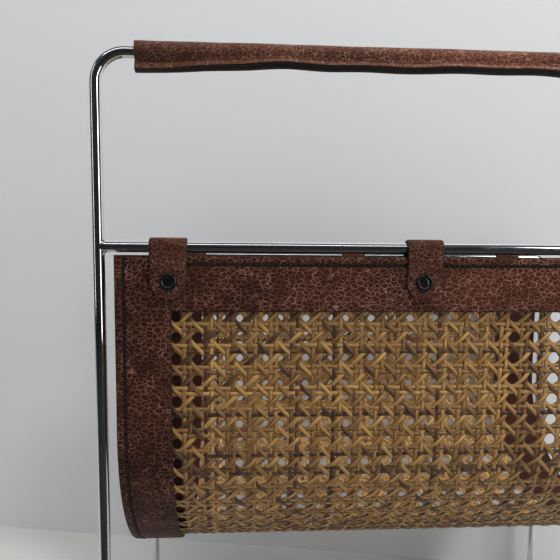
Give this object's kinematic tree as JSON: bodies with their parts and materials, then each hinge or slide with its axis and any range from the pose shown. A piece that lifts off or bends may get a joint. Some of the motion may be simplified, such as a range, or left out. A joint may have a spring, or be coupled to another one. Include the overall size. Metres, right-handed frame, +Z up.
{
  "type": "magazine rack",
  "caption": "Free-standing magazine file holder: a chromed rod frame with a leather-sleeved handle carries a U-shaped cane sling, leather-bound and hung by snap tabs.",
  "frame": {"origin": "on the floor, midway between the two rails and midway along them", "axes": "+X along the rails, +Y towards the back, +Z up"},
  "size_m": [0.3856, 0.21, 0.4367],
  "materials": {
    "chrome": "polished",
    "leather": "pebbled, semi-gloss",
    "lining": "matt",
    "cane": "natural skin, semi-gloss",
    "snap": "gloss black",
    "thread": "waxed"
  },
  "bodies": {
    "rack": {"border_seams": "thread", "cane_diagonals": "cane", "cane_warps": "cane", "cane_wefts": "cane", "front_frame": "chrome", "front_rail": "chrome", "front_top_border": "leather", "front_top_lining": "lining", "handle_seam": "thread", "handle_sleeve": "leather", "left_side_border": "leather", "left_side_lining": "lining", "rear_frame": "chrome", "rear_top_border": "leather", "rear_top_lining": "lining", "right_side_border": "leather", "right_side_lining": "lining", "snap_posts": "snap", "tab_loop_front_left": "leather", "tab_loop_front_middle": "leather", "tab_loop_front_right": "leather", "tab_loop_rear_left": "leather", "tab_loop_rear_middle": "leather", "tab_loop_rear_right": "leather"},
    "flap_front_left": {"tab_flap_front_left": "leather", "snap_ring_front_left": "snap"},
    "flap_front_middle": {"tab_flap_front_middle": "leather", "snap_ring_front_middle": "snap"},
    "flap_front_right": {"tab_flap_front_right": "leather", "snap_ring_front_right": "snap"},
    "flap_rear_left": {"tab_flap_rear_left": "leather", "snap_ring_rear_left": "snap"},
    "flap_rear_middle": {"tab_flap_rear_middle": "leather", "snap_ring_rear_middle": "snap"},
    "flap_rear_right": {"tab_flap_rear_right": "leather", "snap_ring_rear_right": "snap"}
  },
  "joints": [
    {"name": "flap_front_left_hinge", "type": "hinge", "parent": "rack", "child": "flap_front_left", "pos_m": [-0.1498, -0.10295, 0.323], "axis": [-1, 0, 0], "range_deg": [0, 95]},
    {"name": "flap_front_middle_hinge", "type": "hinge", "parent": "rack", "child": "flap_front_middle", "pos_m": [0, -0.10295, 0.323], "axis": [-1, 0, 0], "range_deg": [0, 95]},
    {"name": "flap_front_right_hinge", "type": "hinge", "parent": "rack", "child": "flap_front_right", "pos_m": [0.1498, -0.10295, 0.323], "axis": [-1, 0, 0], "range_deg": [0, 95]},
    {"name": "flap_rear_left_hinge", "type": "hinge", "parent": "rack", "child": "flap_rear_left", "pos_m": [-0.1498, 0.10295, 0.323], "axis": [1, 0, 0], "range_deg": [0, 95]},
    {"name": "flap_rear_middle_hinge", "type": "hinge", "parent": "rack", "child": "flap_rear_middle", "pos_m": [0, 0.10295, 0.323], "axis": [1, 0, 0], "range_deg": [0, 95]},
    {"name": "flap_rear_right_hinge", "type": "hinge", "parent": "rack", "child": "flap_rear_right", "pos_m": [0.1498, 0.10295, 0.323], "axis": [1, 0, 0], "range_deg": [0, 95]}
  ]
}
